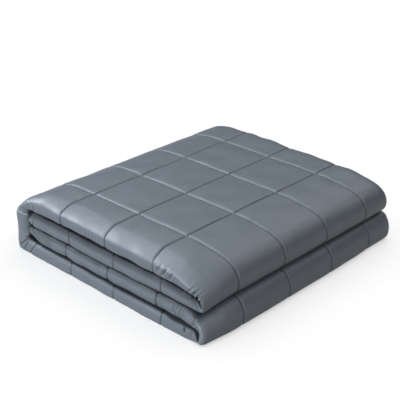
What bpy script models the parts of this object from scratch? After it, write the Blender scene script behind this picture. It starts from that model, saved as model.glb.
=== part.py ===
"""A quilted weighted blanket, folded for the shelf.

The blanket is folded in thirds across its width, then both ends are folded in to the middle, and then
it is folded in half. That leaves four layers of three plies each. Two folds lie one above the other on
the right, the middle of the blanket stands as a wall on the left, and the two free ends lie between.

Metres, +Z up. The origin is the middle of the footprint, on the surface that the blanket rests on.
+X points at the two folds and +Y runs along them, away from the clean front folds of the thirds.
"""

import math
from collections import namedtuple

import bmesh
import bpy

# Driving dimensions
CELL = 0.118  # side of one sewn cell; every length in cells below is times this

# The rest is in cells, and heights are measured up from the surface.
FRONT = 0.25  # the clean front folds of the thirds
BACK = 4.70  # the back folds
LEFT = -0.12  # outer face of the left wall
RIGHT = 4.10  # the furthest reach of the lower fold on the right
UPPER_RIGHT = 4.02  # and of the upper one
LENGTH_SEAMS = (1.0, 2.0, 3.0, 4.0)  # y of the seams that run along the blanket's length

TOP = 1.095  # the crowns of the top cells
LAYER_4 = (-0.012, 0.243)  # outer and inner face of each layer, the lowest layer first
LAYER_3 = (0.493, 0.258)
LAYER_2 = (0.508, 0.765)
LAYER_1 = (TOP, 0.780)
WALL = (LEFT, 0.130)

GROOVE = 0.045  # how deep the sewn channels lie under the crowns
FRONT_GROOVE = 0.030  # how far a seam draws the front and back folds in
GROOVE_EDGE = 0.15  # from a seam to the shoulder of its channel
SHOULDER_PUFF = 0.75  # how full a cell is at its shoulder, where 1 is its crown

PLY_GAP = 0.03  # gap between two plies, as a part of the layer's thickness
PLY = (1 - 2 * PLY_GAP) / 3
PLY_GROOVE = 0.6  # a channel goes no deeper than this part of its ply

FOLD_REACH = 0.12  # how far the rounding of the front folds reaches in
BACK_REACH = 0.10
FOLD_SQUARENESS = 2.6  # 2 is an ellipse, and more is squarer
FOLD_STEPS = 6

# Inside the folds, counted from the outside of the front folds or of the back ones
FREE_EDGE = 0.11  # the middle ply's free edge, inside the front folds
FREE_EDGE_FULL = 0.24  # where that ply has its full thickness again
FREE_EDGE_T = (0.46, 0.54)  # its two faces, from 0 on the layer's inner face to 1 on its outer one
INSIDE_FOLD = 0.085  # the inside of the front folds
INSIDE_CORNER = 0.095
INSIDE_CORNER_T = (0.40, 0.60)
INSIDE_STRAIGHT = 0.17  # where the inside of the front folds begins to round
BACK_SLIT = 0.09  # the end of the slit between the outer ply and the middle one
HEM_TIP = 0.05  # the inner ply's hem, just inside the back folds
HEM_FLAT = 0.14
HEM_FULL = 0.24
HEM_FACES = (0.35, 0.65)  # parts of the ply's thickness

# One row for each section along the blanket: a point on the outer face, the point across from it on
# the inner face, and how full the cells are there.
Row = namedtuple("Row", "outer_x outer_z inner_x inner_z puff")

# The upper free end tapers to its hem, in layer 2.
UPPER_END = (
    Row(0.175, 0.555, 0.175, 0.615, 0.6),
    Row(0.200, 0.532, 0.200, 0.680, 0.7),
    Row(0.260, 0.514, 0.260, 0.740, 0.9),
    Row(0.350, 0.508, 0.350, 0.765, 1.0),
)

# The upper fold, from layer 2 round to layer 1: the top layer comes down outside the end of layer 2.
UPPER_FOLD = (
    Row(3.450, 0.508, 3.450, 0.757, 1.0),
    Row(3.650, 0.508, 3.650, 0.745, 1.0),
    Row(3.770, 0.508, 3.765, 0.722, 1.0),
    Row(3.850, 0.510, 3.840, 0.680, 1.0),
    Row(3.900, 0.516, 3.882, 0.625, 1.0),
    Row(3.940, 0.533, 3.900, 0.590, 1.0),
    Row(3.978, 0.568, 3.912, 0.583, 1.0),
    Row(4.005, 0.615, 3.924, 0.598, 1.0),
    Row(UPPER_RIGHT, 0.680, 3.930, 0.640, 1.0),
    Row(4.018, 0.750, 3.922, 0.688, 1.0),
    Row(3.988, 0.835, 3.895, 0.720, 1.0),
    Row(3.925, 0.910, 3.840, 0.745, 1.0),
    Row(3.825, 0.970, 3.760, 0.760, 1.0),
    Row(3.660, 1.022, 3.640, 0.770, 1.0),
    Row(3.450, 1.062, 3.450, 0.777, 1.0),
)

# The top left corner, from layer 1 down to the wall.
TOP_CORNER = (
    Row(0.520, 1.087, 0.400, 0.780, 1.0),
    Row(0.380, 1.068, 0.290, 0.777, 1.0),
    Row(0.240, 1.026, 0.210, 0.768, 1.0),
    Row(0.120, 0.962, 0.160, 0.750, 1.0),
    Row(0.030, 0.885, 0.140, 0.725, 1.0),
    Row(-0.048, 0.803, 0.132, 0.700, 0.8),
    Row(-0.098, 0.710, 0.130, 0.670, 0.0),
    Row(-0.114, 0.610, 0.130, 0.610, 0.75),
)

WALL_ROWS = (
    Row(LEFT, 0.460, WALL[1], 0.460, 1.0),
    Row(LEFT, 0.300, WALL[1], 0.320, 1.0),
)

# The bottom left corner is tight. The blanket lies flat from there, with a seam close to the corner.
BOTTOM_CORNER = (
    Row(-0.118, 0.170, 0.122, 0.290, 1.0),
    Row(-0.105, 0.070, 0.128, 0.268, 1.0),
    Row(-0.065, 0.018, 0.138, 0.256, 1.0),
    Row(0.000, -0.012, 0.152, 0.249, 1.0),
    Row(0.110, -0.012, 0.180, 0.245, 0.75),
    Row(0.250, -0.012, 0.260, 0.243, 0.0),
    Row(0.400, -0.012, 0.400, 0.243, 0.75),
)

# The lower fold, from layer 4 round to layer 3.
LOWER_FOLD = (
    Row(3.450, -0.012, 3.450, 0.241, 1.0),
    Row(3.640, -0.012, 3.640, 0.232, 1.0),
    Row(3.750, -0.012, 3.742, 0.208, 1.0),
    Row(3.815, -0.012, 3.800, 0.160, 1.0),
    Row(3.860, -0.012, 3.832, 0.105, 1.0),
    Row(3.915, -0.008, 3.850, 0.072, 1.0),
    Row(3.985, 0.000, 3.866, 0.068, 1.0),
    Row(4.045, 0.028, 3.882, 0.088, 1.0),
    Row(4.085, 0.090, 3.892, 0.130, 1.0),
    Row(RIGHT, 0.190, 3.890, 0.168, 1.0),
    Row(4.096, 0.290, 3.872, 0.208, 1.0),
    Row(4.062, 0.378, 3.835, 0.237, 1.0),
    Row(4.005, 0.444, 3.778, 0.251, 1.0),
    Row(3.905, 0.483, 3.690, 0.257, 1.0),
    Row(3.760, 0.493, 3.560, 0.258, 1.0),
)

# The lower free end tapers to its hem, in layer 3.
LOWER_END = (
    Row(0.340, 0.493, 0.340, 0.258, 1.0),
    Row(0.250, 0.487, 0.250, 0.282, 0.9),
    Row(0.190, 0.469, 0.190, 0.334, 0.7),
    Row(0.165, 0.440, 0.165, 0.380, 0.6),
)


def run(first_x, last_x, layer, seams, with_crowns):
    """Rows of one flat layer between two places along x, with a channel at each seam."""
    outer_z, inner_z = layer
    way = 1 if last_x > first_x else -1
    places = [(first_x, 1.0)]
    for seam in seams:
        if with_crowns:
            places.append(((places[-1][0] + seam) / 2, 1.0))
        places.append((seam - way * GROOVE_EDGE, SHOULDER_PUFF))
        places.append((seam, 0.0))
        places.append((seam + way * GROOVE_EDGE, SHOULDER_PUFF))
    if with_crowns:
        places.append(((places[-1][0] + last_x) / 2, 1.0))
    return [Row(x, outer_z, x, inner_z, puff) for x, puff in places[1:]]


def rows_along_blanket():
    """Every section from the upper free end to the lower one."""
    rows = list(UPPER_END)
    rows += run(0.35, 3.45, LAYER_2, (1.17, 2.18, 3.17), False)
    rows += UPPER_FOLD
    rows += run(3.45, 0.48, LAYER_1, (3.0, 2.0, 1.0), True)
    rows += TOP_CORNER + WALL_ROWS + BOTTOM_CORNER
    rows += run(0.40, 3.45, LAYER_4, (1.2, 2.17, 3.17), True)
    rows += LOWER_FOLD
    rows += run(3.45, 0.34, LAYER_3, (3.05, 2.05, 1.1), False)
    rows += LOWER_END
    return rows


# A point of the section across the plies: y, its place through the layer from 0 on the inner face to 1
# on the outer face, how full the cell is there, and how it moves where a seam draws the cloth in.
Point = namedtuple("Point", "y t puff draw_y draw_t")


def hidden(y, t):
    """A point inside the fold, which no seam moves."""
    return Point(y, t, 1.0, 0.0, 0.0)


def rounded_fold(edge_y, reach, low_t, high_t, steps, way):
    """The outside of a fold of the thirds, from low_t to high_t. way is 1 at the front, -1 at the back."""
    power = 2 / FOLD_SQUARENESS
    points = []
    for i in range(steps + 1):
        angle = math.pi * i / steps
        across = math.copysign(abs(math.cos(angle)) ** power, math.cos(angle))
        out = abs(math.sin(angle)) ** power
        y = edge_y + way * reach * (1 - out)
        t = (low_t + high_t) / 2 - across * (high_t - low_t) / 2
        points.append(Point(y, t, 1.0, way * out, 0.0))
    return points


def outer_face():
    """The outer ply's face from the front fold to the back one, with a channel at each seam."""
    places = []
    before = FRONT + FOLD_REACH
    for seam in LENGTH_SEAMS:
        if places:
            places.append(((before + seam) / 2, 1.0))
        places.append((seam - GROOVE_EDGE, SHOULDER_PUFF))
        places.append((seam, 0.0))
        places.append((seam + GROOVE_EDGE, SHOULDER_PUFF))
        before = seam
    places.append(((before + BACK) / 2, 1.0))
    return [Point(y, 1.0, puff, 0.0, 1.0) for y, puff in places]


def section():
    """The closed outline of the three plies, which turns back at the front and again at the back."""
    ply_2_low = PLY + PLY_GAP
    ply_2_top = 2 * PLY + PLY_GAP
    ply_3_low = 1 - PLY
    free_low, free_top = FREE_EDGE_T
    corner_low, corner_top = INSIDE_CORNER_T
    hem_low, hem_top = (PLY * part for part in HEM_FACES)
    points = rounded_fold(FRONT, FOLD_REACH, 0.0, 1.0, FOLD_STEPS, 1)
    points += outer_face()
    # The back fold joins the outer ply to the middle one.
    points += reversed(rounded_fold(BACK, BACK_REACH, ply_2_low, 1.0, FOLD_STEPS, -1))
    # The free edge of the middle ply ends just inside the front fold.
    points.append(hidden(FRONT + FREE_EDGE_FULL, ply_2_low))
    points.append(hidden(FRONT + FREE_EDGE, free_low))
    points.append(hidden(FRONT + FREE_EDGE, free_top))
    points.append(hidden(FRONT + FREE_EDGE_FULL, ply_2_top))
    points.append(hidden(BACK - BACK_SLIT, ply_2_top + PLY_GAP / 2))
    # The inside of the front fold.
    points.append(hidden(FRONT + INSIDE_STRAIGHT, ply_3_low))
    points.append(hidden(FRONT + INSIDE_CORNER, corner_top))
    points.append(hidden(FRONT + INSIDE_FOLD, 0.5))
    points.append(hidden(FRONT + INSIDE_CORNER, corner_low))
    points.append(hidden(FRONT + INSIDE_STRAIGHT, PLY))
    # The free edge of the inner ply shows its hem at the back.
    points.append(hidden(BACK - HEM_FULL, PLY))
    points.append(hidden(BACK - HEM_FLAT, hem_top))
    points.append(hidden(BACK - HEM_TIP, hem_top))
    points.append(hidden(BACK - HEM_TIP, hem_low))
    points.append(hidden(BACK - HEM_FLAT, hem_low))
    points.append(hidden(BACK - HEM_FULL, 0.0))
    return points


def place(row, point):
    """Where one point of the section lies at one row, in metres."""
    thick_x = row.outer_x - row.inner_x
    thick_z = row.outer_z - row.inner_z
    thickness = math.hypot(thick_x, thick_z)
    empty = 1 - min(row.puff, point.puff)
    sink = point.draw_t * empty * min(GROOVE, PLY_GROOVE * PLY * thickness) / thickness
    x = row.inner_x + thick_x * (point.t - sink)
    z = row.inner_z + thick_z * (point.t - sink)
    y = point.y + point.draw_y * empty * FRONT_GROOVE
    # What rests on the surface is pressed flat.
    z = max(z, 0.0)
    return (
        (x - (LEFT + RIGHT) / 2) * CELL,
        (y - (FRONT + BACK) / 2) * CELL,
        z * CELL,
    )


def quilted_cloth():
    """Slate blue-grey satin cotton."""
    material = bpy.data.materials.new("slate_quilted_cloth")
    material.use_nodes = True
    shader = material.node_tree.nodes["Principled BSDF"]
    shader.inputs["Base Color"].default_value = (0.17, 0.20, 0.23, 1.0)
    shader.inputs["Roughness"].default_value = 0.45
    shader.inputs["Metallic"].default_value = 0.0
    return material


def build_blanket(collection):
    """The section swept row by row along the folded blanket, with a cap at each free end."""
    outline = section()
    shape = bmesh.new()
    rings = [[shape.verts.new(place(row, point)) for point in outline] for row in rows_along_blanket()]
    for ring, following in zip(rings, rings[1:]):
        for i in range(len(outline)):
            shape.faces.new((ring[i - 1], ring[i], following[i], following[i - 1]))
    shape.faces.new(rings[0])
    shape.faces.new(rings[-1])
    bmesh.ops.recalc_face_normals(shape, faces=shape.faces[:])
    mesh = bpy.data.meshes.new("blanket")
    shape.to_mesh(mesh)
    shape.free()
    mesh.shade_smooth()
    mesh.set_sharp_from_angle(angle=math.radians(50))
    mesh.materials.append(quilted_cloth())
    blanket = bpy.data.objects.new("blanket", mesh)
    collection.objects.link(blanket)
    return blanket


def main():
    for thing in list(bpy.data.objects):
        bpy.data.objects.remove(thing, do_unlink=True)
    collection = bpy.data.collections.new("folded_weighted_blanket")
    bpy.context.scene.collection.children.link(collection)
    build_blanket(collection)


main()
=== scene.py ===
# %% [markdown]
# # A folded weighted blanket
#
# This script dresses a plain solid of a folded, quilted blanket. The solid gives the size and the
# place; here we sew the soft cloth around it, give it its satin finish, and light it.
# We start by loading the solid.

# %% Load the solid
import math
from collections import namedtuple

import bmesh
import bpy
import numpy as np
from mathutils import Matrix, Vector


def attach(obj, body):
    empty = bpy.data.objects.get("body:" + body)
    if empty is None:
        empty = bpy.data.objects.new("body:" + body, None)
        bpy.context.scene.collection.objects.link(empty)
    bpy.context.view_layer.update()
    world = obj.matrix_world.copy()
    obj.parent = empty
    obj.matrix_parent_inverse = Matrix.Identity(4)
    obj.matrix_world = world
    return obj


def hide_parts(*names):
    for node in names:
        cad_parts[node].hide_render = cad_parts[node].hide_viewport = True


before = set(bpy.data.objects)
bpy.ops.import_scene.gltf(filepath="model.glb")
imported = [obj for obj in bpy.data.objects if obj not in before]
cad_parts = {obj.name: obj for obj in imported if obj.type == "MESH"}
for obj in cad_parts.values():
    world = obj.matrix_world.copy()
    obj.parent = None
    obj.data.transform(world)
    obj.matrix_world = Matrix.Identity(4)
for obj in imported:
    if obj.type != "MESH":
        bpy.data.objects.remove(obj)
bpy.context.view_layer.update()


# %% [markdown]
# ## The camera
#
# The blanket was photographed from a corner, a little above it, through a long lens that keeps its
# edges almost parallel. Lengths along the blanket are easiest to read in cells, the squares that the
# seams make, so the script works in cells and turns them into metres with one function.

# %% Camera
CELL = 0.118  # side of one sewn cell
MIDDLE_X = 1.99  # the solid's origin, counted in cells from the corner of the seam grid
MIDDLE_Y = 2.475

CAMERA_AT = (11.684, -7.847, 7.585)  # in cells
AZIMUTH = math.radians(43.60)
ELEVATION = math.radians(25.64)
LENS_MM = 88.33
SENSOR_MM = 36.0
FARTHEST = 50.0  # metres that the camera sees


def metres(x, y, z):
    """A place counted in cells, in metres from the solid's origin."""
    return ((x - MIDDLE_X) * CELL, (y - MIDDLE_Y) * CELL, z * CELL)


bpy.ops.object.select_all(action="DESELECT")
bpy.ops.object.camera_add(
    location=metres(*CAMERA_AT),
    rotation=(math.pi / 2 - ELEVATION, 0.0, AZIMUTH),
)
camera = bpy.context.object
camera.name = "camera"
camera.data.lens = LENS_MM
camera.data.sensor_width = SENSOR_MM
camera.data.clip_end = FARTHEST
bpy.context.scene.camera = camera
print("camera at", [round(v, 3) for v in camera.location])


# %% [markdown]
# ## The fold, seen from its end
#
# A blanket that is folded back and forth is one long ribbon. We write down where its outer face and
# its inner face run, one row for each place where the line changes, and let the script round it off.
# The ribbon starts at the upper free end, runs right, turns up into the top layer, runs left, comes
# down as the wall, runs right along the floor, turns up again and ends at the lower free end.
# The last number of a row says how deep a sewn line crosses there, where 1 is a full seam. It could
# be drawn as a curve in the viewport, but a table can be read and changed row by row.

# %% Where the layers lie
Row = namedtuple("Row", "outer_x outer_z inner_x inner_z seam", defaults=(0.0,))

LAYER_4 = (-0.006, 0.243)  # outer and inner face of each layer, the lowest layer first
LAYER_3 = (0.493, 0.258)
LAYER_2 = (0.508, 0.765)
LAYER_1 = (1.095, 0.780)
HEM = 0.35  # depth of a hem's seam beside a full one


def flat(x, layer, seam=0.0):
    """A row where a layer lies flat."""
    return Row(x, layer[0], x, layer[1], seam)


print("the bottom layer is", round((LAYER_4[1] - LAYER_4[0]) * CELL * 1000, 1), "mm thick")

# %% [markdown]
# The free end of the upper half is a tapered hem. It runs right as the second layer and turns up in a
# plump fold, where the outer face bulges and the inner one is pinched.

# %% The second layer and the upper fold
LAYER_2_END = (
    Row(0.168, 0.58, 0.282, 0.735),
    Row(0.182, 0.552, 0.302, 0.752),
    Row(0.215, 0.53, 0.33, 0.76),
    Row(0.262, 0.518, 0.372, 0.763, HEM),
    Row(0.36, 0.51, 0.44, 0.765),
)
LAYER_2_LEFT = (
    flat(0.70, LAYER_2),
    flat(1.145, LAYER_2, 1.0),
)
LAYER_2_MIDDLE = (
    flat(1.70, LAYER_2),
    flat(2.125, LAYER_2, 1.0),
    flat(2.75, LAYER_2),
)
LAYER_2_RIGHT = (
    flat(3.12, LAYER_2, 1.0),
)
UPPER_FOLD = (
    Row(3.45, 0.508, 3.45, 0.76),
    Row(3.65, 0.508, 3.65, 0.752),
    Row(3.77, 0.506, 3.765, 0.738),
    Row(3.85, 0.505, 3.848, 0.706),
    Row(3.91, 0.506, 3.898, 0.655),
    Row(3.955, 0.514, 3.918, 0.612),
    Row(3.99, 0.545, 3.926, 0.592),
    Row(4.01, 0.605, 3.934, 0.602),
)
UPPER_FOLD_TOP = (
    Row(4.018, 0.68, 3.938, 0.64),
    Row(4.014, 0.75, 3.93, 0.69),
    Row(3.985, 0.835, 3.898, 0.732),
    Row(3.922, 0.91, 3.84, 0.754),
)
UPPER_SHOULDER = (
    Row(3.82, 0.972, 3.76, 0.766),
    Row(3.66, 1.024, 3.64, 0.773),
)
print(len(UPPER_FOLD + UPPER_FOLD_TOP), "rows in the upper fold")

# %% [markdown]
# The top layer runs left and turns down into the wall, the middle of the blanket's length, which
# turns under at its foot.

# %% The top layer and the wall
LAYER_1_RIGHT = (
    Row(3.45, 1.064, 3.45, 0.777),
    Row(3.25, 1.088, 3.25, 0.78),
    flat(3.0, LAYER_1, 1.0),
)
LAYER_1_MIDDLE = (
    flat(2.5, LAYER_1),
    flat(2.0, LAYER_1, 1.0),
)
LAYER_1_LEFT = (
    flat(1.5, LAYER_1),
    flat(1.0, LAYER_1, 1.0),
)
TOP_CORNER = (
    Row(0.59, 1.09, 0.48, 0.78),
    Row(0.43, 1.074, 0.35, 0.779),
    Row(0.29, 1.035, 0.26, 0.775),
    Row(0.165, 0.968, 0.205, 0.768),
)
TOP_MITRE = (
    Row(0.075, 0.898, 0.172, 0.76),
    Row(0.005, 0.832, 0.156, 0.744),
    Row(-0.07, 0.762, 0.146, 0.724),
    Row(-0.135, 0.69, 0.15, 0.69, 1.0),
    Row(-0.14, 0.62, 0.152, 0.62),
)
WALL_ROWS = (
    Row(-0.122, 0.46, 0.154, 0.46),
    Row(-0.124, 0.25, 0.154, 0.33),
)
BOTTOM_CORNER = (
    Row(-0.126, 0.12, 0.154, 0.29),
    Row(-0.124, 0.045, 0.158, 0.27),
    Row(-0.1, 0.006, 0.166, 0.252),
    Row(-0.04, -0.006, 0.2, 0.246),
    Row(0.06, -0.006, 0.27, 0.243),
    Row(0.171, -0.006, 0.364, 0.243, 1.0),
)
print(len(TOP_MITRE + WALL_ROWS), "rows in the wall")

# %% [markdown]
# The lower half is the same the other way round: the bottom layer, the lower fold and the third layer.

# %% The bottom layer, the lower fold and the third layer
LAYER_4_LEFT = (
    flat(0.65, LAYER_4),
    flat(1.22, LAYER_4, 1.0),
)
LAYER_4_MIDDLE = (
    flat(2.195, LAYER_4, 1.0),
)
LAYER_4_RIGHT = (
    flat(3.21, LAYER_4, 1.0),
)
LOWER_FOLD = (
    Row(3.45, -0.006, 3.45, 0.241),
    Row(3.64, -0.006, 3.64, 0.236),
    Row(3.76, -0.006, 3.79, 0.234),
    Row(3.86, -0.006, 3.862, 0.215),
)
LOWER_TURN = (
    Row(3.935, -0.006, 3.9, 0.16),
    Row(3.99, -0.004, 3.91, 0.095),
    Row(4.048, 0.012, 3.925, 0.042),
    Row(4.09, 0.046, 3.94, 0.058),
    Row(4.112, 0.12, 3.944, 0.13),
)
LOWER_FOLD_TOP = (
    Row(4.116, 0.21, 3.94, 0.19),
    Row(4.104, 0.305, 3.91, 0.226),
    Row(4.066, 0.392, 3.862, 0.243),
    Row(4.01, 0.455, 3.765, 0.253),
    Row(3.915, 0.488, 3.68, 0.257),
)
LAYER_3_RIGHT = (
    Row(3.76, 0.495, 3.56, 0.258),
    flat(3.046, LAYER_3, 1.0),
)
LAYER_3_MIDDLE = (
    flat(2.50, LAYER_3),
    flat(2.005, LAYER_3, 1.0),
)
LAYER_3_LEFT = (
    flat(1.055, LAYER_3, 1.0),
    flat(0.55, LAYER_3),
)
LAYER_3_END = (
    Row(0.36, 0.498, 0.4, 0.268),
    Row(0.262, 0.498, 0.318, 0.29, HEM),
    Row(0.205, 0.496, 0.255, 0.318),
    Row(0.172, 0.486, 0.2, 0.35),
    Row(0.158, 0.462, 0.17, 0.385),
)
print(len(LOWER_FOLD + LOWER_TURN), "rows in the lower fold")


# %% [markdown]
# Each stretch of the ribbon is also folded a little differently at the front and at the back, so a
# second table says how:
#
# - front and back: where its folds of the thirds stand
# - outer_edge, inner_edge and back_edge: how round these folds are
# - inner_lift and outer_lift: how far its two faces close in on each other at the front
# - drop and droop: how far its front hangs down, and how far its outer face alone does
# - notch and groove: how deep seams cut into the front folds and into the faces behind them
# - slip: how far the plies have slipped backwards
# - sag: 1 where the top's edge sinks at the wall
# - square: how square the front's outer edge is, where 2 is an ellipse

# %% How the folds of each stretch lie
SQUARENESS = 2.5  # of the rounding of most folds
Stretch = namedtuple(
    "Stretch",
    "rows front outer_edge inner_edge inner_lift drop notch groove back back_edge "
    "outer_lift droop slip sag square",
    defaults=(0.0, 0.0, 0.0, 0.0, SQUARENESS),
)

RIBBON = (
    Stretch(LAYER_2_END, 0.3, 0.03, 0.04, 0.02, 0, 0.006, 0.02, 4.7, 0.1),
    Stretch(LAYER_2_LEFT, 0.325, 0.04, 0.06, 0.05, 0.03, 0.008, 0.03, 4.7, 0.1),
    Stretch(LAYER_2_MIDDLE, 0.335, 0.04, 0.07, 0.06, 0.07, 0.008, 0.03, 4.7, 0.1),
    Stretch(LAYER_2_RIGHT, 0.335, 0.04, 0.07, 0.06, 0.06, 0.008, 0.03, 4.7, 0.1),
    Stretch(UPPER_FOLD, 0.33, 0.08, 0.05, 0.08, 0.075, 0.006, 0.014, 4.63, 0.17, slip=0.04),
    Stretch(UPPER_FOLD_TOP, 0.31, 0.16, 0.04, 0, 0.065, 0.006, 0.016, 4.6, 0.19, droop=0.52, square=2.0),
    Stretch(UPPER_SHOULDER, 0.3, 0.24, 0.04, 0, 0.065, 0.006, 0.016, 4.6, 0.22, droop=0.22, square=1.7),
    Stretch(LAYER_1_RIGHT, 0.3, 0.26, 0.03, 0.03, 0.05, 0.01, 0.034, 4.6, 0.24, square=1.5),
    Stretch(LAYER_1_MIDDLE, 0.3, 0.23, 0.03, 0.03, 0.03, 0.01, 0.034, 4.62, 0.22, square=1.45),
    Stretch(LAYER_1_LEFT, 0.3, 0.28, 0.03, 0.03, 0, 0.01, 0.034, 4.66, 0.2, square=1.45),
    Stretch(TOP_CORNER, 0.3, 0.2, 0.03, 0.03, 0, 0.01, 0.03, 4.66, 0.2, sag=1, square=1.7),
    Stretch(TOP_MITRE, 0.29, 0.04, 0.06, 0, 0, 0.008, 0.02, 4.66, 0.16, sag=1, square=2.2),
    Stretch(WALL_ROWS, 0.285, 0.03, 0.1, 0, 0, 0.008, 0.02, 4.68, 0.12),
    Stretch(BOTTOM_CORNER, 0.275, 0.03, 0.08, 0, 0, 0.008, 0.02, 4.7, 0.1),
    Stretch(LAYER_4_LEFT, 0.265, 0.03, 0.07, 0.06, 0, 0.008, 0.03, 4.7, 0.1),
    Stretch(LAYER_4_MIDDLE, 0.255, 0.03, 0.06, 0.05, 0.02, 0.008, 0.03, 4.7, 0.1),
    Stretch(LAYER_4_RIGHT, 0.245, 0.03, 0.08, 0.08, 0.015, 0.008, 0.03, 4.7, 0.1),
    Stretch(LOWER_FOLD, 0.245, 0.03, 0.02, 0.05, 0, 0.006, 0.01, 4.68, 0.12, slip=0.04),
    Stretch(LOWER_TURN, 0.25, 0.15, 0.02, 0.05, 0, 0.006, 0.01, 4.68, 0.12, slip=0.06),
    Stretch(LOWER_FOLD_TOP, 0.29, 0.15, 0.02, 0, 0.04, 0.008, 0.012, 4.68, 0.12, droop=0.45, slip=0.06),
    Stretch(LAYER_3_RIGHT, 0.315, 0.08, 0.04, 0, 0.045, 0.02, 0.034, 4.69, 0.1, outer_lift=0.05),
    Stretch(LAYER_3_MIDDLE, 0.315, 0.08, 0.04, 0, 0.045, 0.02, 0.034, 4.69, 0.1, outer_lift=0.05),
    Stretch(LAYER_3_LEFT, 0.31, 0.07, 0.04, 0, 0.02, 0.02, 0.034, 4.69, 0.1, outer_lift=0.02),
    Stretch(LAYER_3_END, 0.3, 0.08, 0.04, 0.04, 0, 0.008, 0.02, 4.69, 0.1, outer_lift=0.04),
)
ROWS = [row for stretch in RIBBON for row in stretch.rows]
FOLDS = np.array([stretch[1:] for stretch in RIBBON for _ in stretch.rows])
print(len(ROWS), "rows in", len(RIBBON), "stretches")


# %% [markdown]
# The rows are joined with straight lines, cut into small steps and softened, each step becoming the
# average of its neighbours. A real fold has no corner either.

# %% Soften the fold line
STEP = 0.01
SOFTENING = 0.028  # how far the averaging of the fold line reaches, in cells
SLOW_SOFTENING = 0.12  # and that of the second table


def soften(line, reach):
    """The line with each value averaged with its neighbours, and its two ends kept."""
    half = int(3 * reach / STEP)
    weights = np.exp(-0.5 * (np.arange(-half, half + 1) * STEP / reach) ** 2)
    weights /= weights.sum()
    before = 2 * line[0] - line[half:0:-1]
    after = 2 * line[-1] - line[-2 : -half - 2 : -1]
    return np.convolve(np.concatenate([before, line, after]), weights, mode="valid")


corners = np.array([row[:4] for row in ROWS])
strides = np.diff(corners, axis=0)
between = (np.hypot(strides[:, 0], strides[:, 1]) + np.hypot(strides[:, 2], strides[:, 3])) / 2
corner_at = np.concatenate([[0.0], np.cumsum(between)])
ribbon_at = np.arange(0.0, corner_at[-1], STEP)
ribbon = np.array([soften(np.interp(ribbon_at, corner_at, line), SOFTENING) for line in corners.T])
folds = np.array([soften(np.interp(ribbon_at, corner_at, line), SLOW_SOFTENING) for line in FOLDS.T])
outer_steps = np.hypot(np.diff(ribbon[0]), np.diff(ribbon[1]))
outer_length = np.concatenate([[0.0], np.cumsum(outer_steps)])  # along the outer face
RIBBON_LENGTH = outer_length[-1]


def along_at(corner):
    """The length along the outer face at a place counted along the rows."""
    return float(np.interp(corner, ribbon_at, outer_length))


cross_seams = [(along_at(at), row.seam) for at, row in zip(corner_at, ROWS) if row.seam]
seam_at = [at for at, _ in cross_seams]
full_seams = [at for at, depth in cross_seams if depth == 1.0]
hem_seams = [at for at, depth in cross_seams if depth < 1.0]
print("ribbon", round(RIBBON_LENGTH * CELL, 3), "m, with", len(cross_seams), "sewn lines across it")


# %% [markdown]
# ## The plies, seen from the side
#
# Before it was folded up, the blanket was folded in thirds. So the ribbon is three plies thick: one
# closed outline that turns at the front, runs back on the outside, turns again at the back and ends
# inside the front fold. A point of the outline is a place across the ribbon, y, and a place through
# it, t, from 0 on the inner face to 1 on the outer one. For a point of a fold, turn says how far round
# the fold it is, and end is 1 at the front and -1 at the back.

# %% Helpers for the section
Point = namedtuple("Point", "y t turn end")

FINE = 0.010  # spacing of points beside a seam
COARSE = 0.046  # and between seams
SEAM_REACH = 0.055
SAMPLES = 400


def places_between(marks, zones=(), zone_gap=0.014):
    """Places from the first mark to the last one, close together beside marks and inside zones."""
    places = []
    for start, end in zip(marks, marks[1:]):
        span = np.linspace(start, end, SAMPLES)
        away = np.minimum(span - start, end - span)
        gaps = COARSE - (COARSE - FINE) * np.exp(-((away / SEAM_REACH) ** 2))
        for low, high in zones:
            gaps = np.where((span > low) & (span < high), np.minimum(gaps, zone_gap), gaps)
        count = np.concatenate([[0.0], np.cumsum(np.diff(span) / gaps[1:])])
        number = max(2, round(count[-1]))
        places.extend(np.interp(np.linspace(0, count[-1], number + 1)[:-1], count, span))
    return np.array([*places, marks[-1]])


def round_off(turn, square):
    """How far across a fold, from 1 to -1, and how far out, from 0 to 1, a turn comes."""
    across = np.sign(np.cos(turn)) * np.abs(np.cos(turn)) ** (2 / square)
    return across, np.clip(np.sin(turn), 0, 1) ** (2 / square)


def rounded_fold(steps, low_t, end):
    """The outside of a fold of the thirds, from low_t to 1. end is 1 at the front, -1 at the back."""
    points = []
    for turn in np.linspace(0.0, math.pi, steps + 1):
        across, _ = round_off(turn, SQUARENESS)
        points.append(Point(0.0, (low_t + 1 - across * (1 - low_t)) / 2, turn, end))
    return points


def hidden(*places):
    """Points inside the fold, which no seam draws in."""
    return [Point(y, t, 0.0, 0) for y, t in places]


print("an eighth of a round turn:", np.round(round_off(math.pi / 4, 2.0), 2))


# %% [markdown]
# Only the outer ply and the folds show, so the inner plies get few points. The middle ply's free edge
# ends inside the front fold, and the inner ply ends in a hem inside the back fold.

# %% The section across the plies
FRONT_EDGE = 0.64  # where the flat faces begin, behind the front folds
BACK_EDGE = 4.30
LENGTH_SEAMS = (1.0, 2.0, 3.0, 4.0)  # y of the seams that run along the ribbon
FRONT_STEPS = 22
BACK_STEPS = 14
PLY_GAP = 0.03
PLY = (1 - 2 * PLY_GAP) / 3
INNER_Y = (4.40, 4.0, 3.2, 2.4, 1.6, 1.1, 0.85, 0.72, 0.64, 0.57, 0.51, 0.47)

hem_low, hem_top = 0.32 * PLY, 0.68 * PLY
middle_low, middle_top = PLY + PLY_GAP, 2 * PLY + PLY_GAP
outer_low = 1 - PLY
outer_y = places_between((FRONT_EDGE, *LENGTH_SEAMS, BACK_EDGE))

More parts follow.
